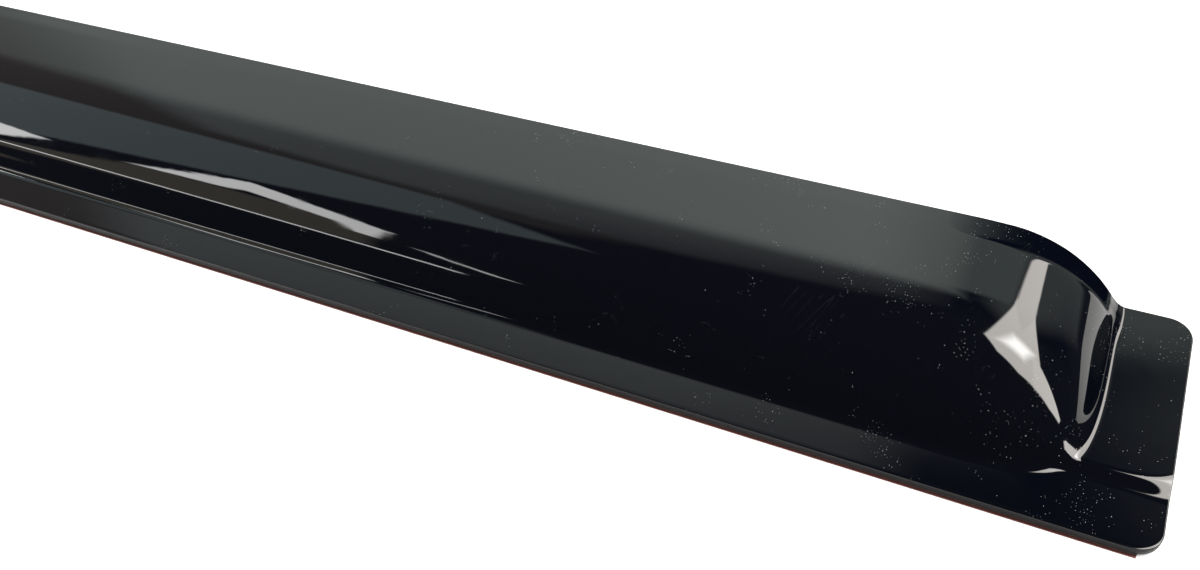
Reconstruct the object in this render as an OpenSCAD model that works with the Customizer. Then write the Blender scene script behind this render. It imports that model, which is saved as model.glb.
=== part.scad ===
// Stick-on side window visor: one drape-formed acrylic shell on foam tape.
// X runs along the visor, Y from the stuck flange to the free edge, Z away from the glass.

/* [Overall] */
// Length from tab end to tab end
visor_l = 800; // [500:10:1100]
// Width from the flange edge to the free edge
visor_w = 90; // [75:1:120]
// Height of the bulge's crest over the flange skin
bulge_h = 27.5; // [18:0.1:34]
// Thickness of the acrylic sheet
sheet_t = 3; // [2:0.5:4]

/* [Flange and tabs] */
// Width of the flat flange
flange_w = 12.7; // [9.5:0.1:15]
// Length of a flat end tab, from its end to the bulge's foot
tab_l = 23; // [18:0.1:40]
// Radius of the tab corners in plan
tab_corner_r = 8; // [4:0.5:9]
// Height of the tab over the flange
step_h = 1.5; // [0.4:0.1:2]
// Distance of the step's foot from the flange
step_gap = 7.9; // [4:0.2:12]
// Width of the step beside the bulge
step_w = 7.2; // [4:0.2:10]
// Extra width of the step at the tab's end
step_flare = 4.4; // [0:0.2:10]
// Distance over which the step widens
step_flare_l = 2; // [1:0.5:8]

/* [Bulge] */
// Width of the front wall, from its foot to the crest
front_w = 46.8; // [40:0.5:56]
// Roundness of the front wall's curve, 2 is an ellipse and more is flatter on top
front_round = 2.2; // [1.8:0.05:3]
// Steepness of the front wall at its foot, 1 is upright
front_fullness = 0.88; // [0.7:0.005:0.98]
// Length of the end wall, from its foot to the crest
end_w = 55.4; // [46:0.5:66]
// Roundness of the end wall's curve
end_round = 2.8; // [2:0.05:3.4]
// Steepness of the end wall at its foot, 1 is upright
end_fullness = 0.935; // [0.7:0.005:0.98]
// Size of the fillet at the foot
foot_blend = 3.8; // [2:0.1:4.4]
// Rise of the panel from the crest to the free edge
panel_rise = 1.9; // [0:0.1:4]
// Squareness of the bulge's corners in plan
corner_power = 1.25; // [1.1:0.05:2.4]

/* [Free edge at the ends] */
// Distance from the free edge at which the far corner starts
far_reach = 11; // [8:0.5:16]
// Width over which the far corner would come down to the foot
far_w = 13; // [11:0.5:18]
// Distance from the end wall's foot within which the far corner builds up
far_l = 43.6; // [36:0.5:52]
// Length over which it builds up
far_fade = 37.5; // [24:0.5:44]
// Distance from the end wall's foot at which the run-off curve starts
runoff_reach = 38.5; // [32:0.1:46]
// Length of the run-off curve that brings the free edge down to the tab
runoff_w = 39.3; // [32:0.1:46]
// Roundness of the run-off curve
runoff_round = 1.9; // [1.6:0.05:2.4]
// Steepness of the run-off curve at its foot, 1 is upright
runoff_fullness = 0.8; // [0.7:0.005:0.98]
// Distance from the free edge at which the sheet starts to follow the run-off
rim_reach = 16; // [12:0.5:20]
// Width over which it does so
rim_w = 13.3; // [10:0.1:16]
// Size of the blend between the bulge and the run-off
rim_blend = 2.2; // [1:0.1:3]
// Length over which that blend grows to its full size
rim_blend_l = 20; // [12:1:28]
// Droop of the free edge
edge_droop = 0.15; // [0:0.05:0.4]

/* [Tape] */
// Clearance between the foam tape and the bulge's foot
tape_foot_gap = 0.5; // [0.3:0.1:2]
// Thickness of the foam tape
tape_t = 1.1; // [0.6:0.1:2]
// Distance that the tape stays back from the flange's edge
tape_inset = 0.2; // [0.1:0.1:1]
// Distance that the tape stays back from the tab's end
tape_margin = 6; // [4:0.5:12]
// Margin around the strip of tape on a tab
tab_tape_margin = 2.5; // [2:0.1:5]
// Thickness of the release liner
liner_t = 0.15; // [0.1:0.05:0.3]
// Distance that the liner stands out past the tape's long edges
liner_overhang = 0.6; // [0:0.1:1]

/* [Hidden] */

smoke = [0.05, 0.06, 0.07];
foam = [0.12, 0.11, 0.11];
liner_red = [0.62, 0.12, 0.1];

// Levels: the liner lies on the ground plane
foam_z = liner_t;
sheet_z = foam_z + tape_t;
skin_z = sheet_z + sheet_t;

// The liner's overhang past the flange edge counts in the width that the origin halves
edge_y = -(visor_w - liner_overhang + tape_inset) / 2;

// Slopes at the foot of each wall, and the width of the fillet there
front_slope = bulge_h / front_w * wall_slope(front_round, front_fullness);
end_slope = bulge_h / end_w * wall_slope(end_round, end_fullness);
front_fillet = foot_blend / front_slope;
end_fillet = foot_blend / end_slope;

// Where each wall meets the flange or the tab, and where it ends in the crest
front_v = flange_w + front_fillet;
end_u = tab_l + end_fillet;
crest_v = front_v + front_w;
crest_u = end_u + end_w;
runoff_u = end_u + runoff_reach;
far_v = visor_w - far_reach;
rim_v = visor_w - rim_reach;

// Step between flange and tab, and the strips of tape on either side of it
step_v = flange_w + step_gap;
tape_w = flange_w - tape_inset - tape_foot_gap;
tab_tape_w = tab_l - 2 * tab_tape_margin;
tab_tape_start = step_v + step_w + step_flare + tab_tape_margin;
tab_tape_end = visor_w - tab_corner_r;

function clamp01(t) = min(1, max(0, t));
function ease(t) = let (c = clamp01(t)) c * c * (3 - 2 * c);
function mix(a, b, t) = a + (b - a) * t;

// Slope of a wall's curve at its foot, in wall heights over wall widths
function wall_slope(n, fullness) =
    let (r = sqrt(1 - fullness ^ n)) n * fullness ^ n / (2 * r * (1 - r));

// Drop of a wall under the crest, 1 at the foot; past the foot it goes on straight
function wall_drop(t, n, fullness) =
    (1 - sqrt(1 - (fullness * clamp01(t)) ^ n)) / (1 - sqrt(1 - fullness ^ n))
        + wall_slope(n, fullness) * max(0, t - 1);

// The larger of two heights, with the corner between them blended over k
function smooth_max(a, b, k) = max(a, b) + max(0, k - abs(a - b)) ^ 2 / (4 * k);

// Tab and flange level, u from the end and v from the flange edge
function base_z(u, v) =
    step_h * ease((v - step_v) / (step_w + step_flare * exp(-u / step_flare_l)));

// Rise of the panel towards the free edge
function rise(v) = 1 + panel_rise / bulge_h * (v - crest_v) / (visor_w - crest_v);

// Bulge with rounded corners at the front and, near the ends, at the far side
function bulge_z(u, v) =
    let (front = wall_drop((crest_v - v) / front_w, front_round, front_fullness),
         end = wall_drop((crest_u - u) / end_w, end_round, end_fullness),
         far = (max(0, v - far_v) / far_w * ease((end_u + far_l - u) / far_fade)) ^ 2,
         p = corner_power)
    bulge_h * rise(v) * (1 - (front ^ p + end ^ p + far ^ p) ^ (1 / p));

// Curve that the sheet follows along the free edge, where it comes down to the tab;
// away from the free edge it dives under the bulge
runoff_sink = 6;
function runoff_z(u, v) =
    mix(-runoff_sink,
        bulge_h * rise(v) * (1 - wall_drop((runoff_u - u) / runoff_w, runoff_round, runoff_fullness)),
        ease((v - rim_v) / rim_w));

// Outer skin over the flange skin
sharp_blend = 0.01;
droop_w = 8;
function skin(x, v) =
    let (u = visor_l / 2 - abs(x),
         base = base_z(u, v),
         k = sharp_blend + rim_blend * ease((runoff_u - u) / rim_blend_l),
         top = smooth_max(bulge_z(u, v), runoff_z(u, v), k)
             - edge_droop * ease((v - visor_w + droop_w) / droop_w))
    base + smooth_max(top * (1 - base / bulge_h), 0, foot_blend);

// Inward direction of the sheet at a point; along a trimmed edge it stays in the cut's plane
slope_step = 0.04;
function inward(x, v, on_edge) =
    let (e = slope_step,
         gx = (skin(x + e, v) - skin(x - e, v)) / (2 * e),
         gv = on_edge ? 0 : (skin(x, v + e) - skin(x, v - e)) / (2 * e),
         n = [gx, gv, -1])
    n / norm(n);

// Distance of the trimmed outline from the long edge's line, at u from the end
function corner_cut(u) =
    u >= tab_corner_r ? 0 : tab_corner_r - sqrt(tab_corner_r ^ 2 - (tab_corner_r - u) ^ 2);

// Sections along one end, close together where the skin bends
corner_n = 5;
fillet_n = 8;
wall_n = 18;
wall_crowd = 1.3;
fillet_steps = [for (i = [0:fillet_n - 1]) 2 * i / fillet_n];
wall_steps = [for (i = [0:wall_n - 1]) (i / wall_n) ^ wall_crowd];
end_stations = concat(
    [for (i = [0:corner_n]) tab_corner_r * (1 - cos(i / corner_n * 90))],
    [for (t = [0.35, 0.7]) mix(tab_corner_r, tab_l, t)],
    [for (t = fillet_steps) tab_l + end_fillet * t],
    [for (t = wall_steps) mix(end_u + end_fillet, crest_u, t)],
    [crest_u]);
stations = concat(
    [for (u = end_stations) -visor_l / 2 + u],
    [for (i = [len(end_stations) - 1:-1:0]) visor_l / 2 - end_stations[i]]);

// Columns across one section, from the flange edge to the free edge
corner_lead = 1.5;
free_start = visor_w - tab_corner_r - corner_lead;
panel_n = 6;
panel_steps = [for (i = [0:panel_n - 1]) i / panel_n];
function columns(x) =
    let (cut = corner_cut(visor_l / 2 - abs(x)))
    concat(
        [cut, mix(cut, flange_w, 0.6)],
        [for (t = fillet_steps) flange_w + front_fillet * t],
        [for (t = wall_steps) mix(front_v + front_fillet, crest_v, t)],
        [for (t = panel_steps) mix(crest_v, free_start, t)],
        [for (t = [0, 0.2, 0.4, 0.6, 0.8, 1]) mix(free_start, visor_w - cut, t)]);

module formed_sheet() {
    rows = len(stations);
    cols = len(columns(0));
    grid = [for (x = stations) let (c = columns(x)) [for (j = [0:cols - 1])
        [x, c[j], j == 0 || j == cols - 1]]];
    outer = [for (row = grid) for (p = row) [p[0], p[1], skin(p[0], p[1])]];
    inner = [for (row = grid) for (p = row)
        [p[0], p[1], skin(p[0], p[1])] + sheet_t * inward(p[0], p[1], p[2])];
    count = rows * cols;
    skins = [for (i = [0:rows - 2]) for (j = [0:cols - 2])
        let (a = i * cols + j, b = a + 1, c = a + cols, d = c + 1)
        each [[a, b, d], [a, d, c], [count + a, count + d, count + b], [count + a, count + c, count + d]]];
    long_cuts = [for (i = [0:rows - 2])
        let (a = i * cols, c = a + cols, e = a + cols - 1, f = e + cols)
        each [[a, c, count + c], [a, count + c, count + a],
              [e, count + f, f], [e, count + e, count + f]]];
    last = (rows - 1) * cols;
    end_cuts = [for (j = [0:cols - 2])
        each [[j, count + j + 1, j + 1], [j, count + j, count + j + 1],
              [last + j, last + j + 1, count + last + j + 1],
              [last + j, count + last + j + 1, count + last + j]]];
    polyhedron(points = concat(outer, inner), faces = concat(skins, long_cuts, end_cuts));
}

module visor_shell() {
    color(smoke)
        translate([0, edge_y, skin_z])
            formed_sheet();
}

// Flange strip, grown sideways for the liner
module flange_strip(thickness, grow) {
    l = visor_l - 2 * tape_margin;
    translate([-l / 2, edge_y + tape_inset - grow, 0])
        cube([l, tape_w + 2 * grow, thickness]);
}

// Strip across the back of a tab, side is 1 at the right end
module tab_strip(side, thickness, grow) {
    size_x = tab_tape_w + 2 * grow;
    size_y = tab_tape_end - tab_tape_start + 2 * grow;
    centre_x = side * (visor_l - tab_l) / 2;
    translate([centre_x - size_x / 2, edge_y + tab_tape_start - grow, 0])
        cube([size_x, size_y, thickness]);
}

module flange_tape() { color(foam) translate([0, 0, foam_z]) flange_strip(tape_t, 0); }
module flange_liner() { color(liner_red) flange_strip(liner_t, liner_overhang); }
module tab_tape(side) {
    color(foam) translate([0, 0, foam_z + step_h]) tab_strip(side, tape_t, 0);
}
module tab_liner(side) {
    color(liner_red) translate([0, 0, step_h]) tab_strip(side, liner_t, liner_overhang);
}
module tab_tape_left() { tab_tape(-1); }
module tab_tape_right() { tab_tape(1); }
module tab_liner_left() { tab_liner(-1); }
module tab_liner_right() { tab_liner(1); }

visor_shell();
flange_tape();
flange_liner();
tab_tape_left();
tab_tape_right();
tab_liner_left();
tab_liner_right();
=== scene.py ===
import math

import bpy
import numpy as np
from mathutils import Matrix


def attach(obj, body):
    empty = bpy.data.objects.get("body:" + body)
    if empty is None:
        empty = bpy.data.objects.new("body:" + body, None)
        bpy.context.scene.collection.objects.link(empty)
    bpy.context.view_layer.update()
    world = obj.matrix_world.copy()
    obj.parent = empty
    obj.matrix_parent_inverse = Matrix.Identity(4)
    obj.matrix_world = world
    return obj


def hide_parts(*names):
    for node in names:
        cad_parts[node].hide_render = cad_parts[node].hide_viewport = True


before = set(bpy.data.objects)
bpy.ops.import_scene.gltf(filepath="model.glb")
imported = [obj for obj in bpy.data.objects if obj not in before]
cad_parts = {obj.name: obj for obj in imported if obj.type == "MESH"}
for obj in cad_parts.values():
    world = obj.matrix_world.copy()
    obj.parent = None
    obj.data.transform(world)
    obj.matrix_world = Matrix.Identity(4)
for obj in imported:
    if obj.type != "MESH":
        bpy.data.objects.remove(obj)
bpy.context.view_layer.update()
MM = 0.001

# Camera. The photo looks down on the stuck edge from in front of the right-hand end, with a
# phone's lens, so the far end runs out of the picture on the left.
camera = bpy.data.objects.new("camera", bpy.data.cameras.new("camera"))
bpy.context.scene.collection.objects.link(camera)
camera.data.sensor_width = 36
camera.data.lens = 31.8
camera.data.clip_start = 0.01
camera.matrix_world = Matrix((
    (0.90171688, -0.24552837, 0.35584054, 0.34321616),
    (0.41518028, 0.72130034, -0.55439260, -0.22514255),
    (-0.12054879, 0.64764314, 0.75234723, 0.30528501),
    (0, 0, 0, 1)))
bpy.context.scene.camera = camera


# The visor's shell: one 3 mm sheet of smoked cast acrylic, heated, draped over a mould and trimmed.
# Flange, front wall, panel, closed ends and end tabs are one sheet. Sizes are in mm; near the ends
# the joggle, foot and rim depart from the CAD's by up to 1.1 mm, to mirror the room as the photo does.
VISOR_L, VISOR_W, BULGE_H, SHEET_T = 800, 90, 27.5, 3
FLANGE_W, TAB_L, TAB_CORNER_R = 12.7, 23, 8
STEP_H, STEP_GAP, STEP_W = 1.5, 6.2, 5.6
STEP_FLARE, STEP_FLARE_L, STEP_SWEEP, STEP_SWEEP_L = 6.5, 6, 1.5, 8
FRONT_W, FRONT_ROUND, FRONT_FULLNESS = 46.8, 2.2, 0.88
END_W, END_ROUND, END_FULLNESS = 55.4, 2.8, 0.935
FOOT_BLEND, PANEL_RISE, CORNER_POWER = 3.8, 1.9, 1.25
FAR_REACH, FAR_W, FAR_L, FAR_FADE = 11, 13, 43.6, 37.5
RUNOFF_REACH, RUNOFF_W, RUNOFF_ROUND, RUNOFF_FULLNESS, RUNOFF_SINK = 38.5, 39.3, 1.9, 0.8, 6
RIM_REACH, RIM_W, RIM_BLEND_LEAST, RIM_BLEND, RIM_BLEND_L = 20, 17, 0.01, 5, 20
EDGE_DROOP, DROOP_W = 0.15, 8
END_DROOP, END_DROOP_W, END_DROOP_L = 0.9, 12, 26
END_FOOT_BLEND, END_FOOT_L = 5.0, 38
EDGE_Y, SKIN_Z = -44.8, 4.25


def ease(t):
    t = np.clip(t, 0, 1)
    return t * t * (3 - 2 * t)


def wall_slope(n, fullness):
    """Slope of a wall's curve at its foot, in wall heights over wall widths."""
    r = math.sqrt(1 - fullness ** n)
    return n * fullness ** n / (2 * r * (1 - r))


def wall_drop(t, n, fullness):
    """Drop of a wall under the crest, 1 at the foot; past the foot it goes on straight."""
    curve = (1 - np.sqrt(1 - (fullness * np.clip(t, 0, 1)) ** n)) / (1 - math.sqrt(1 - fullness ** n))
    return curve + wall_slope(n, fullness) * np.maximum(0, t - 1)


def smooth_max(a, b, k):
    return np.maximum(a, b) + np.maximum(0, k - np.abs(a - b)) ** 2 / (4 * k)


FRONT_FILLET = FOOT_BLEND / (BULGE_H / FRONT_W * wall_slope(FRONT_ROUND, FRONT_FULLNESS))
END_FILLET = FOOT_BLEND / (BULGE_H / END_W * wall_slope(END_ROUND, END_FULLNESS))
FRONT_V, END_U = FLANGE_W + FRONT_FILLET, TAB_L + END_FILLET
CREST_V, CREST_U, RUNOFF_U = FRONT_V + FRONT_W, END_U + END_W, END_U + RUNOFF_REACH


def skin_height(x, v):
    """The sheet's outer skin over the flange, v from the stuck edge."""
    u = VISOR_L / 2 - np.abs(x)
    step_start = FLANGE_W + STEP_GAP - STEP_SWEEP * np.exp(-u / STEP_SWEEP_L)
    base = STEP_H * ease((v - step_start) / (STEP_W + STEP_FLARE * np.exp(-u / STEP_FLARE_L)))
    front = wall_drop((CREST_V - v) / FRONT_W, FRONT_ROUND, FRONT_FULLNESS)
    end = wall_drop((CREST_U - u) / END_W, END_ROUND, END_FULLNESS)
    far = (np.maximum(0, v - VISOR_W + FAR_REACH) / FAR_W * ease((END_U + FAR_L - u) / FAR_FADE)) ** 2
    p = CORNER_POWER
    crest = BULGE_H + PANEL_RISE * (v - CREST_V) / (VISOR_W - CREST_V)
    bulge = crest * (1 - (front ** p + end ** p + far ** p) ** (1 / p))
    runoff = crest * (1 - wall_drop((RUNOFF_U - u) / RUNOFF_W, RUNOFF_ROUND, RUNOFF_FULLNESS))
    near_rim = ease((v - VISOR_W + RIM_REACH) / RIM_W)
    runoff = runoff * near_rim - RUNOFF_SINK * (1 - near_rim)
    top = smooth_max(bulge, runoff, RIM_BLEND_LEAST + RIM_BLEND * ease((RUNOFF_U - u) / RIM_BLEND_L))
    end_edge = np.clip((v - VISOR_W + END_DROOP_W) / END_DROOP_W, 0, 1)
    top = top - EDGE_DROOP * ease((v - VISOR_W + DROOP_W) / DROOP_W)
    top = top - END_DROOP * end_edge ** 2 * ease((RUNOFF_U + END_DROOP_L / 2 - u) / END_DROOP_L)
    foot = FOOT_BLEND + (END_FOOT_BLEND - FOOT_BLEND) * ease((TAB_L + END_FOOT_L - u) / END_FOOT_L)
    return base + smooth_max(top * (1 - base / BULGE_H), 0, foot)


def spaced(a, b, n, first=False):
    """n even steps from a to b, with a itself only if first is set."""
    return list(np.linspace(a, b, n + 1)[0 if first else 1:])


# Stations along the visor and columns across it, close together where the sheet bends. The cut edge's
# arrises are eased by a small radius, so the grid stops that far inside the trim line.
ARRIS_R, ARRIS_STEPS = 0.35, 4
CORNER_STEPS, TAB_STEPS, FOOT_STEPS, WALL_STEPS, MIDDLE_STATIONS = 14, 12, 22, 60, 22
FLANGE_STEPS, PANEL_STEPS, RIM_STEPS = 8, 26, 14
FLANGE_LEAD, FOOT_LEAD, RIM_LEAD, WALL_CROWDING = 1, 1.5, 1.5, 1.25

end_foot, front_foot = TAB_L + 2 * END_FILLET, FLANGE_W + 2 * FRONT_FILLET
flange_end, rim_start = FLANGE_W - FLANGE_LEAD, VISOR_W - TAB_CORNER_R - RIM_LEAD
wall_steps = np.linspace(0, 1, WALL_STEPS + 1)[1:] ** WALL_CROWDING
corner_turn = 1 - np.cos(np.linspace(0, math.pi / 2, CORNER_STEPS + 1))
end_stations = (list(ARRIS_R + (TAB_CORNER_R - ARRIS_R) * corner_turn)
                + spaced(TAB_CORNER_R, TAB_L - FOOT_LEAD, TAB_STEPS)
                + spaced(TAB_L - FOOT_LEAD, end_foot, FOOT_STEPS)
                + list(end_foot + (CREST_U - end_foot) * wall_steps))
inner_x = VISOR_L / 2 - end_stations[-1]
station_x = np.array([u - VISOR_L / 2 for u in end_stations]
                     + list(np.linspace(-inner_x, inner_x, MIDDLE_STATIONS + 2)[1:-1])
                     + [VISOR_L / 2 - u for u in reversed(end_stations)])
inner_v = (spaced(flange_end, front_foot, FOOT_STEPS, True)
           + list(front_foot + (CREST_V - front_foot) * wall_steps)
           + spaced(CREST_V, rim_start, PANEL_STEPS))


def outline_cut(u, r):
    """How far the rounded tab corner stands back from the long edge's line, r inside the trim line."""
    c = TAB_CORNER_R - r
    d = np.clip(TAB_CORNER_R - u, 0, c)
    return r + c - np.sqrt(c * c - d * d)


grid_v = []
for x in station_x:
    cut = float(outline_cut(VISOR_L / 2 - abs(x), ARRIS_R))
    grid_v.append(list(np.linspace(cut, flange_end, FLANGE_STEPS + 1)[:-1]) + inner_v
                  + spaced(rim_start, VISOR_W - cut, RIM_STEPS))
grid_v = np.array(grid_v)
rows, cols = grid_v.shape
grid_x = np.repeat(station_x[:, None], cols, 1)


def inward_at(x, v):
    """Unit vector into the sheet; along the trim line it stays in the plane of the cut."""
    e = 0.02
    gx = (skin_height(x + e, v) - skin_height(x - e, v)) / (2 * e)
    gv = (skin_height(x, v + e) - skin_height(x, v - e)) / (2 * e)
    gv[:, [0, -1]] = 0
    n = np.stack([gx, gv, -np.ones_like(gx)], -1)
    return n / np.linalg.norm(n, axis=-1, keepdims=True)


outer = np.stack([grid_x, grid_v, skin_height(grid_x, grid_v)], -1)
inward = inward_at(grid_x, grid_v)
inner = outer + SHEET_T * inward

# The cut edge runs round the grid's border: an eased arris, the flat cut, and the other arris
border = ([(0, j) for j in range(cols)] + [(i, cols - 1) for i in range(1, rows)]
          + [(rows - 1, j) for j in range(cols - 2, -1, -1)] + [(i, 0) for i in range(rows - 2, 0, -1)])
bi, bj = np.array(border).T
loop = outer[bi, bj]
along = np.roll(loop, -1, 0) - np.roll(loop, 1, 0)
out_dir = np.stack([-along[:, 1], along[:, 0], 0 * along[:, 0]], -1)
out_dir /= np.linalg.norm(out_dir, axis=1, keepdims=True)
into = inward[bi, bj]
edge_loops = []
for k in range(1, ARRIS_STEPS + 1):
    a = math.radians(90 * k / ARRIS_STEPS)
    edge_loops.append(loop + ARRIS_R * (math.sin(a) * out_dir + (1 - math.cos(a)) * into))
for k in range(ARRIS_STEPS - 1, 0, -1):
    a = math.radians(90 * k / ARRIS_STEPS)
    edge_loops.append(inner[bi, bj] + ARRIS_R * (math.sin(a) * out_dir - (1 - math.cos(a)) * into))

count, m = rows * cols, len(border)
points = np.concatenate([outer.reshape(-1, 3), inner.reshape(-1, 3)] + edge_loops)
points = (points + [0, EDGE_Y, SKIN_Z]) * MM
faces = []
for i in range(rows - 1):
    for j in range(cols - 1):
        a = i * cols + j
        b, c, d = a + 1, a + cols, a + cols + 1
        faces += [(a, c, d, b), (count + a, count + b, count + d, count + c)]
rings = [list(bi * cols + bj)]
rings += [list(range(2 * count + k * m, 2 * count + (k + 1) * m)) for k in range(len(edge_loops))]
rings += [list(count + bi * cols + bj)]
for k, (r0, r1) in enumerate(zip(rings[:-1], rings[1:])):
    if k == ARRIS_STEPS:
        first_cut = len(faces)
    for i in range(m):
        j = (i + 1) % m
        faces.append((r0[i], r0[j], r1[j], r1[i]))
shell_mesh = bpy.data.meshes.new("visor_sheet")
shell_mesh.from_pydata(points.tolist(), [], [tuple(int(v) for v in f) for f in faces])
shell_mesh.validate()
shell_mesh.shade_smooth()
shell = bpy.data.objects.new("visor_sheet", shell_mesh)
bpy.context.scene.collection.objects.link(shell)
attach(shell, "root")
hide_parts("visor_shell")


def linear(hex_colour):
    """An sRGB hex colour as the linear colour that a node wants."""
    c = [int(hex_colour[i:i + 2], 16) / 255 for i in (1, 3, 5)]
    return [x / 12.92 if x <= 0.04045 else ((x + 0.055) / 1.055) ** 2.4 for x in c] + [1.0]


def put(tree, kind, settings=None, links=None):
    """Adds a node, sets its properties and input values, and links the sockets given."""
    node = tree.nodes.new(kind)
    for key, value in (settings or {}).items():
        if isinstance(key, str) and hasattr(node, key):
            setattr(node, key, value)
        else:
            node.inputs[key].default_value = value
    for key, source in (links or {}).items():
        tree.links.new(source, node.inputs[key])
    return node


def new_material(name):
    material = bpy.data.materials.new(name)
    material.use_nodes = True
    material.node_tree.nodes.clear()
    return material, material.node_tree


# Smoked cast acrylic, drape-formed and left with its sheet gloss: near black, mirror-smooth, with the
# faint ripple of a heated sheet. Its flat margin cooled leaning a few degrees and its rim rolled down
# over the ends, which darkens what they mirror. Handling left pale dust specks and hairline scuffs.
SHEET_COLOUR, DUST_COLOUR = "#04050a", "#c4cacc"
GLOSS, HAZE, HAZE_FROM, HAZE_TO = 0.02, 0.07, 0.45, 0.75
RIPPLE_L, RIPPLE_H = 22, 0.035
MARGIN_LEAN, LEAN_TOP, LEAN_NONE = 4.5, 6.2, 9.5
RIM_LEAN, ROLL_U, ROLL_L, ROLL_V, ROLL_W, ROLL_H = 7, 90, 20, 79.5, 3.5, 4

acrylic, t = new_material("smoked_cast_acrylic_formed")
place = put(t, "ShaderNodeTexCoord").outputs["Object"]
xyz = put(t, "ShaderNodeSeparateXYZ", {}, {0: place})

# The margin's lean turns its normals outwards, and fades up the foot of the wall
lean = put(t, "ShaderNodeMapRange",
           {"interpolation_type": "SMOOTHSTEP", "From Min": LEAN_TOP * MM, "From Max": LEAN_NONE * MM,
            "To Min": -math.tan(math.radians(MARGIN_LEAN)), "To Max": 0.0}, {"Value": xyz.outputs["Z"]})
lean = put(t, "ShaderNodeCombineXYZ", {}, {"Y": lean.outputs[0]})
facing = put(t, "ShaderNodeNewGeometry").outputs["Normal"]
facing = put(t, "ShaderNodeVectorMath", {"operation": "ADD"}, {0: facing, 1: lean.outputs[0]})

# The rolled rim faces one way where it is far enough along the visor, across it and up
end_x = put(t, "ShaderNodeMath", {"operation": "ABSOLUTE"}, {0: xyz.outputs["X"]}).outputs[0]
rolled = None
for source, start, width in ((end_x, VISOR_L / 2 - ROLL_U, ROLL_L),
                             (xyz.outputs["Y"], EDGE_Y + ROLL_V, ROLL_W),
                             (xyz.outputs["Z"], LEAN_NONE, ROLL_H)):
    share = put(t, "ShaderNodeMapRange",
                {"interpolation_type": "SMOOTHSTEP", "From Min": start * MM,
                 "From Max": (start + width) * MM}, {"Value": source}).outputs[0]
    rolled = share if rolled is None else put(
        t, "ShaderNodeMath", {"operation": "MULTIPLY"}, {0: rolled, 1: share}).outputs[0]
facing = put(t, "ShaderNodeMix", {"data_type": "VECTOR", 5: (0, math.tan(math.radians(RIM_LEAN)), 1)},
             {0: rolled, 4: facing.outputs[0]}).outputs[1]
facing = put(t, "ShaderNodeVectorMath", {"operation": "NORMALIZE"}, {0: facing})
ripple = put(t, "ShaderNodeTexNoise", {"Scale": 1 / (RIPPLE_L * MM), "Detail": 2.0}, {"Vector": place})
ripple = put(t, "ShaderNodeMath", {"operation": "MULTIPLY", 1: RIPPLE_H * MM}, {0: ripple.outputs[0]})
surface = put(t, "ShaderNodeBump", {"Distance": 1.0},
              {"Height": ripple.outputs[0], "Normal": facing.outputs[0]})

# Specks are dots at the middle of some cells of a fine pattern, kept where a coarse one is high, and
# more of them towards the right-hand end
SPECK_PITCH, SPECK_R, SPECK_LEAST, SPECK_CLUMP = 1.1, 0.12, 0.35, 16
SPECK_FROM, SPECK_TO, SPECK_SHARE = 0.60, 0.76, 0.7
SPECK_FAINT, SPECK_BRIGHT = 0.08, 0.7
WORN_FROM, WORN_TO, WORN_MORE = 100, 380, 0.10

cells = put(t, "ShaderNodeTexVoronoi", {"voronoi_dimensions": "2D", "Scale": 1 / (SPECK_PITCH * MM)},
            {"Vector": place})
draw = put(t, "ShaderNodeSeparateColor", {}, {0: cells.outputs["Color"]})
clump = put(t, "ShaderNodeTexNoise", {"Scale": 1 / (SPECK_CLUMP * MM), "Detail": 4.0, "Roughness": 0.65},
            {"Vector": place})
worn = put(t, "ShaderNodeMapRange", {"From Min": WORN_FROM * MM, "From Max": WORN_TO * MM, "To Min": 0.0,
                                     "To Max": WORN_MORE}, {"Value": xyz.outputs["X"]})
dusty = put(t, "ShaderNodeMath", {"operation": "ADD"}, {0: clump.outputs[0], 1: worn.outputs[0]})
dusty = put(t, "ShaderNodeMapRange", {"From Min": SPECK_FROM, "From Max": SPECK_TO, "To Min": 0.0,
                                      "To Max": SPECK_SHARE}, {"Value": dusty.outputs[0]})
kept = put(t, "ShaderNodeMath", {"operation": "LESS_THAN"}, {0: draw.outputs["Red"], 1: dusty.outputs[0]})
speck_r = put(t, "ShaderNodeMapRange", {"To Min": SPECK_LEAST * SPECK_R / SPECK_PITCH,
                                        "To Max": SPECK_R / SPECK_PITCH}, {"Value": draw.outputs["Green"]})
speck = put(t, "ShaderNodeMath", {"operation": "LESS_THAN"},
            {0: cells.outputs["Distance"], 1: speck_r.outputs[0]})
speck = put(t, "ShaderNodeMath", {"operation": "MULTIPLY"}, {0: speck.outputs[0], 1: kept.outputs[0]})
faint = put(t, "ShaderNodeMapRange", {"To Min": SPECK_FAINT, "To Max": SPECK_BRIGHT},
            {"Value": draw.outputs["Blue"]})
speck = put(t, "ShaderNodeMath", {"operation": "MULTIPLY"}, {0: speck.outputs[0], 1: faint.outputs[0]})

# Scuffs are level lines of a stretched pattern: short, nearly parallel arcs, high on the bulge only
SCUFF_GAP, SCUFF_LINE, SCUFF_TURN, SCUFF_STRETCH, SCUFF_CLUMP = 2.4, 0.012, 25, 0.08, 34
SCUFF_FROM, SCUFF_TO, SCUFF_LEVEL, SCUFF_LOW, SCUFF_HIGH = 0.60, 0.75, 0.03, 14, 24

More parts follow.
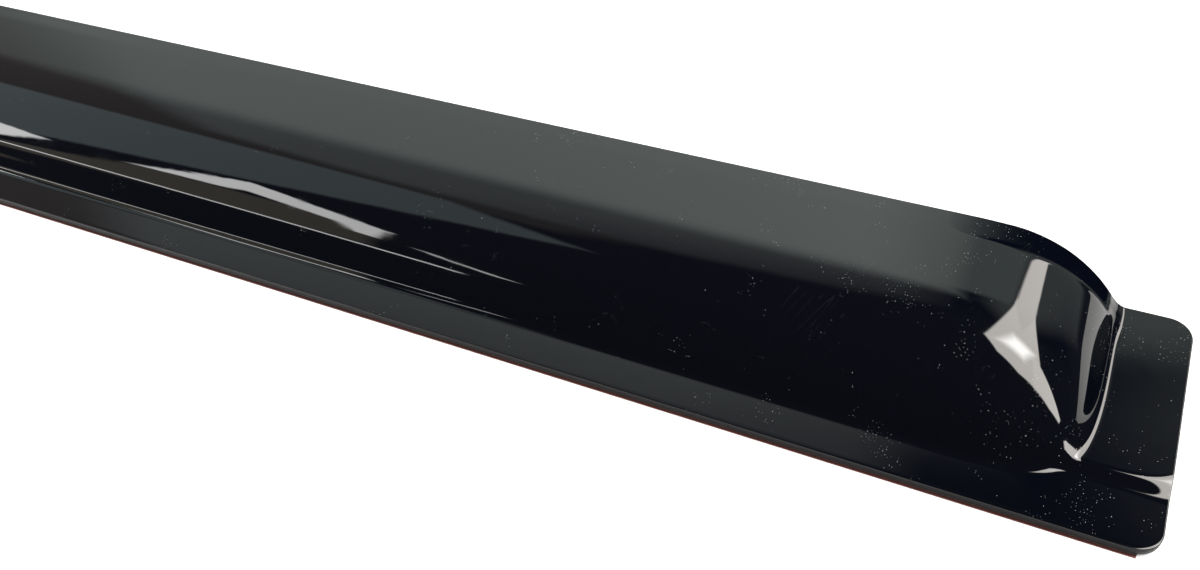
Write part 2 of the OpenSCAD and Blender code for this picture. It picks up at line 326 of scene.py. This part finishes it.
arcs = put(t, "ShaderNodeMapping", {"Rotation": (0, 0, math.radians(SCUFF_TURN))}, {"Vector": place})
arcs = put(t, "ShaderNodeMapping", {"Scale": (1, SCUFF_STRETCH, 1)}, {"Vector": arcs.outputs[0]})
arcs = put(t, "ShaderNodeTexNoise", {"noise_dimensions": "2D", "Scale": 1 / (SCUFF_GAP * MM),
                                     "Detail": 0.0}, {"Vector": arcs.outputs[0]})
arcs = put(t, "ShaderNodeMath", {"operation": "COMPARE", 1: 0.5, 2: SCUFF_LINE}, {0: arcs.outputs[0]})
where = put(t, "ShaderNodeTexNoise", {"Scale": 1 / (SCUFF_CLUMP * MM), "Detail": 5.0, "Roughness": 0.7},
            {"Vector": place})
where = put(t, "ShaderNodeMath", {"operation": "ADD"}, {0: where.outputs[0], 1: worn.outputs[0]})
where = put(t, "ShaderNodeMapRange", {"From Min": SCUFF_FROM, "From Max": SCUFF_TO, "To Min": 0.0,
                                      "To Max": SCUFF_LEVEL}, {"Value": where.outputs[0]})
high = put(t, "ShaderNodeMapRange", {"From Min": SCUFF_LOW * MM, "From Max": SCUFF_HIGH * MM},
           {"Value": xyz.outputs["Z"]})
where = put(t, "ShaderNodeMath", {"operation": "MULTIPLY"}, {0: where.outputs[0], 1: high.outputs[0]})
scuff = put(t, "ShaderNodeMath", {"operation": "MULTIPLY"}, {0: arcs.outputs[0], 1: where.outputs[0]})
marks = put(t, "ShaderNodeMath", {"operation": "ADD"}, {0: speck.outputs[0], 1: scuff.outputs[0]})
colour = put(t, "ShaderNodeMix", {"data_type": "RGBA", 6: linear(SHEET_COLOUR), 7: linear(DUST_COLOUR)},
             {0: marks.outputs[0]})
haze = put(t, "ShaderNodeMapRange", {"From Min": HAZE_FROM, "From Max": HAZE_TO, "To Min": GLOSS,
                                     "To Max": HAZE}, {"Value": clump.outputs[0]})
rough = put(t, "ShaderNodeMath", {"operation": "ADD"}, {0: haze.outputs[0], 1: speck.outputs[0]})
bsdf = put(t, "ShaderNodeBsdfPrincipled", {"IOR": 1.49}, {
    "Base Color": colour.outputs[2], "Roughness": rough.outputs[0], "Normal": surface.outputs[0]})
put(t, "ShaderNodeOutputMaterial", {}, {"Surface": bsdf.outputs[0]})
shell_mesh.materials.append(acrylic)

# Its cut edge is the same acrylic as the trimming cutter left it: matt, with fine upright tool lines
CUT_PITCH, CUT_DEPTH, CUT_UPRIGHT = 0.5, 0.01, 0.1
cut_edge, t = new_material("smoked_cast_acrylic_router_cut")
place = put(t, "ShaderNodeTexCoord").outputs["Object"]
lines = put(t, "ShaderNodeMapping", {"Scale": (1, 1, CUT_UPRIGHT)}, {"Vector": place})
lines = put(t, "ShaderNodeTexNoise", {"Scale": 1 / (CUT_PITCH * MM), "Detail": 2.0},
            {"Vector": lines.outputs[0]})
depth = put(t, "ShaderNodeMath", {"operation": "MULTIPLY", 1: CUT_DEPTH * MM}, {0: lines.outputs[0]})
surface = put(t, "ShaderNodeBump", {"Distance": 1.0}, {"Height": depth.outputs[0]})
colour = put(t, "ShaderNodeMix", {"data_type": "RGBA", 6: linear("#050507"), 7: linear("#101013")},
             {0: lines.outputs[0]})
bsdf = put(t, "ShaderNodeBsdfPrincipled", {"IOR": 1.49, "Roughness": 0.42, "Specular IOR Level": 0.1},
           {"Base Color": colour.outputs[2], "Normal": surface.outputs[0]})
put(t, "ShaderNodeOutputMaterial", {}, {"Surface": bsdf.outputs[0]})
shell_mesh.materials.append(cut_edge)
for i, polygon in enumerate(shell_mesh.polygons):
    polygon.material_index = 1 if first_cut <= i < first_cut + len(border) else 0


# Double-sided acrylic foam tape under the flange and the tabs, a dull brown-grey. Its cut sides show
# closed foam cells; real ones are about 0.1 mm, drawn at 0.3 mm so that they show. The colour is darker
# where the cells sink, which is painted shade in the pits, over a random tone from batch to batch.
CELL, CELL_DEPTH, BATCH_L = 0.3, 0.03, 12
foam, t = new_material("acrylic_foam_tape_slit")
place = put(t, "ShaderNodeTexCoord").outputs["Object"]
cells = put(t, "ShaderNodeTexVoronoi", {"Scale": 1 / (CELL * MM)}, {"Vector": place}).outputs["Distance"]
batch = put(t, "ShaderNodeTexNoise", {"Scale": 1 / (BATCH_L * MM), "Detail": 3.0}, {"Vector": place})
# Painted shade in the cell pits, darker where the bump sinks, times a random batch tone
shade = put(t, "ShaderNodeMath", {"operation": "MULTIPLY"}, {0: cells, 1: batch.outputs[0]})
colour = put(t, "ShaderNodeMix", {"data_type": "RGBA", 6: linear("#553f3c"), 7: linear("#2c2221")},
             {0: shade.outputs[0]})
pits = put(t, "ShaderNodeMath", {"operation": "MULTIPLY", 1: -CELL_DEPTH * MM}, {0: cells})
surface = put(t, "ShaderNodeBump", {"Distance": 1.0}, {"Height": pits.outputs[0]})
bsdf = put(t, "ShaderNodeBsdfPrincipled", {"Roughness": 0.85, "Specular IOR Level": 0.3},
           {"Base Color": colour.outputs[2], "Normal": surface.outputs[0]})
put(t, "ShaderNodeOutputMaterial", {}, {"Surface": bsdf.outputs[0]})

# The tape's release liner: dull red polyethylene film, cast smooth, with slight creases from handling.
# Tapes and liners are the CAD's own solids, stuck on from below, and only get their finish here.
CREASE_L, CREASE_H = 9, 0.05
liner, t = new_material("polyethylene_liner_film_cast")
place = put(t, "ShaderNodeTexCoord").outputs["Object"]
creases = put(t, "ShaderNodeTexNoise", {"Scale": 1 / (CREASE_L * MM), "Detail": 3.0}, {"Vector": place})
height = put(t, "ShaderNodeMath", {"operation": "MULTIPLY", 1: CREASE_H * MM}, {0: creases.outputs[0]})
surface = put(t, "ShaderNodeBump", {"Distance": 1.0}, {"Height": height.outputs[0]})
colour = put(t, "ShaderNodeMix", {"data_type": "RGBA", 6: linear("#6e3a34"), 7: linear("#8a4e45")},
             {0: creases.outputs[0]})
bsdf = put(t, "ShaderNodeBsdfPrincipled", {"Roughness": 0.38},
           {"Base Color": colour.outputs[2], "Normal": surface.outputs[0]})
put(t, "ShaderNodeOutputMaterial", {}, {"Surface": bsdf.outputs[0]})
for name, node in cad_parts.items():
    if "tape" in name or "liner" in name:
        node.data.materials.clear()
        node.data.materials.append(foam if "tape" in name else liner)


# Floor: a plain white table top. Rays from the camera and from gloss see it a little lifted, up to
# the photo's white, and the visor's shadow stays on it.
FLOOR_HALF, FLOOR_LIFT = 6.0, 0.25
corners = [(x * FLOOR_HALF, y * FLOOR_HALF, 0) for x, y in ((-1, -1), (1, -1), (1, 1), (-1, 1))]
floor_mesh = bpy.data.meshes.new("floor")
floor_mesh.from_pydata(corners, [], [(0, 1, 2, 3)])
floor = bpy.data.objects.new("floor", floor_mesh)
bpy.context.scene.collection.objects.link(floor)
white, t = new_material("table_top_white")
bsdf = put(t, "ShaderNodeBsdfDiffuse", {"Color": linear("#f4f4f4")})
ray = put(t, "ShaderNodeLightPath")
lifted = put(t, "ShaderNodeMath", {"operation": "ADD"},
             {0: ray.outputs["Is Camera Ray"], 1: ray.outputs["Is Glossy Ray"]})
lifted = put(t, "ShaderNodeMath", {"operation": "MULTIPLY", 1: FLOOR_LIFT}, {0: lifted.outputs[0]})
glow = put(t, "ShaderNodeEmission", {"Color": linear("#ffffff")}, {"Strength": lifted.outputs[0]})
both = put(t, "ShaderNodeAddShader", {}, {0: bsdf.outputs[0], 1: glow.outputs[0]})
put(t, "ShaderNodeOutputMaterial", {}, {"Surface": both.outputs[0]})
floor_mesh.materials.append(white)


# Studio: a dim room as a sky, with a skylight to the right, a pale ceiling and wall behind, a grey
# wall and windows to the left. Each is a soft-edged patch of sky given by azimuth and elevation in
# degrees, azimuth from +X towards +Y, with its edge's width. A level of 1 looks white.
LIGHT_MAP, ROOM_SHADE = 512, "#424550"
world = bpy.data.worlds.new("studio")
bpy.context.scene.world = world
world.cycles.sampling_method = "MANUAL"
world.cycles.sample_map_resolution = LIGHT_MAP
world.use_nodes = True
t = world.node_tree
t.nodes.clear()

# A round map of the sky, x and y over 1 + z, on which a patch's sides are straight lines. NADIR_GAP
# keeps the point straight below finite.
NADIR_GAP = 0.0001
direction = put(t, "ShaderNodeTexCoord").outputs["Generated"]
split = put(t, "ShaderNodeSeparateXYZ", {}, {0: direction})
lift = put(t, "ShaderNodeMath", {"operation": "ADD", 1: 1 + NADIR_GAP}, {0: split.outputs["Z"]})
map_x = put(t, "ShaderNodeMath", {"operation": "DIVIDE"}, {0: split.outputs["X"], 1: lift.outputs[0]})
map_y = put(t, "ShaderNodeMath", {"operation": "DIVIDE"}, {0: split.outputs["Y"], 1: lift.outputs[0]})
sky_map = put(t, "ShaderNodeCombineXYZ", {"Z": 1.0},
              {"X": map_x.outputs[0], "Y": map_y.outputs[0]}).outputs[0]


def on_map(azimuth, elevation):
    """A direction as a point of the round sky map, whose centre is the zenith."""
    r = math.tan(math.radians(90 - elevation) / 2)
    return np.array([r * math.cos(math.radians(azimuth)), r * math.sin(math.radians(azimuth))])


def sky_patch(corners, soft):
    """Mask of a convex patch of sky, corners in either turn; soft is the edge's width in degrees."""
    points = np.array([on_map(*corner) for corner in corners])
    middle, inside = points.mean(0), None
    for a, b in zip(points, np.roll(points, -1, 0)):
        normal = np.array([b[1] - a[1], a[0] - b[0]]) / np.linalg.norm(b - a)
        if normal @ (middle - a) < 0:
            normal = -normal
        edge = put(t, "ShaderNodeVectorMath", {"operation": "DOT_PRODUCT", 1: (*normal, -normal @ a)},
                   {0: sky_map}).outputs["Value"]
        inside = edge if inside is None else put(
            t, "ShaderNodeMath", {"operation": "MINIMUM"}, {0: inside, 1: edge}).outputs[0]
    half = math.radians(soft) / 4
    return put(t, "ShaderNodeMapRange", {"interpolation_type": "SMOOTHSTEP", "From Min": -half,
                                         "From Max": half}, {"Value": inside}).outputs[0]


def hang(sky, colour, level, corners, soft, fade=None):
    """The sky with one more patch over it. fade is where it starts to fade out, and where it is gone."""
    mask = sky_patch(corners, soft)
    if fade:
        a, b = [on_map(*p) for p in fade]
        d = (b - a) / ((b - a) @ (b - a))
        ramp = put(t, "ShaderNodeVectorMath", {"operation": "DOT_PRODUCT", 1: (*d, -d @ a)}, {0: sky_map})
        ramp = put(t, "ShaderNodeMapRange", {"To Min": 1.0, "To Max": 0.0},
                   {"Value": ramp.outputs["Value"]}).outputs[0]
        mask = put(t, "ShaderNodeMath", {"operation": "MULTIPLY"}, {0: mask, 1: ramp}).outputs[0]
    light = [level * c for c in linear(colour)[:3]] + [1]
    return put(t, "ShaderNodeMix", {"data_type": "RGBA", "clamp_result": False, 7: light},
               {0: mask, 6: sky}).outputs[2]


sky = put(t, "ShaderNodeRGB").outputs[0]
sky.default_value = linear(ROOM_SHADE)

# The room's back: navy shade behind the visor, and the far wall and pale wall on either side of it
sky = hang(sky, "#4060a0", 0.15, [(100, 8), (100, 60), (60, 82), (30, 40), (20, 8)], 20)
sky = hang(sky, "#fff2e6", 0.29, [(153, 8), (157, 50), (168, 70), (185, 66), (181, 8)], 5)
sky = hang(sky, "#eef8f4", 0.62, [(76, 8), (74, 61), (48, 64), (38, 8)], 14)

# The ceiling, fading out overhead, and the bright strip where it meets the wall
ceiling = [(139, 15), (170, 47), (173, 56), (165, 72), (130, 77), (104, 74), (98, 60), (96, 15)]
sky = hang(sky, "#f0f8f8", 0.72, ceiling, 5, [(135, 62), (140, 84)])
sky = hang(sky, "#f0fff8", 0.95, [(99, 44), (99, 60), (62, 53.5), (62, 44)], 3)

# The lit wall, brightest towards the strip, and the grey wall at the left
lit_wall = [(154, 8), (155, 38.5), (97, 62), (95, 8)]
sky = hang(sky, "#f4fff8", 1.2, lit_wall, 13)
sky = hang(sky, "#f6fff8", 2.2, lit_wall, 11, [(103, 48), (152, 34)])
sky = hang(sky, "#e2f4f6", 0.95, [(176, 30), (179, 60), (208, 66), (207, 45), (208, 26)], 2)

# The windows at the left: a warm surround, and the panes in it
surround = [(212, 33), (209, 43), (224, 42), (226, 39), (235, 22), (215, 10), (205, 25)]
sky = hang(sky, "#fff6e0", 0.6, surround, 2)
for level, soft, pane in ((9.0, 1, [(212, 33), (209, 43), (214, 43), (215, 37)]),
                          (9.0, 1, [(209, 43), (224, 42), (224, 38.5), (210, 38.5)]),
                          (9.0, 1, [(224, 42), (226, 39), (228, 36), (226, 36), (222, 39)]),
                          (9.0, 1, [(205, 18), (203, 31), (208, 31), (211, 24), (212, 18)]),
                          (9.0, 0.6, [(214, 14.2), (214, 15.4), (240, 19.8), (240, 18.6)]),
                          (7.0, 1, [(230, 37), (231.5, 37), (241, 29), (239.5, 28.5)])):
    sky = hang(sky, "#ffffff", level, pane, soft)

# The skylight, one bright shape of three convex patches, and its brighter core
glazing = [(35, 81), (60, 49), (46, 42), (15, 46), (-10, 47), (-15, 62), (-9, 76)]
sky = hang(sky, "#fffaf4", 11.0, glazing, 1.5)
sky = hang(sky, "#fffaf4", 10.0, [(60, 50), (57, 31), (46, 42), (40, 55)], 1.5)
sky = hang(sky, "#fffaf4", 12.0, [(20, 52), (-1, 21), (-4, 22), (-8, 34), (-11, 50)], 1.5)
sky = hang(sky, "#fffdfa", 26.0, [(24, 73), (34, 63), (20, 52), (9, 60)], 7)

# The camera sees plain white where the floor ends
camera_ray = put(t, "ShaderNodeLightPath").outputs["Is Camera Ray"]
seen = put(t, "ShaderNodeMix", {"data_type": "RGBA", "clamp_result": False, 7: linear("#ffffff")},
           {0: camera_ray, 6: sky})
background = put(t, "ShaderNodeBackground", {"Strength": 1.0}, {"Color": seen.outputs[2]})
put(t, "ShaderNodeOutputWorld", {}, {"Surface": background.outputs[0]})
bpy.context.scene.view_settings.view_transform = "Standard"
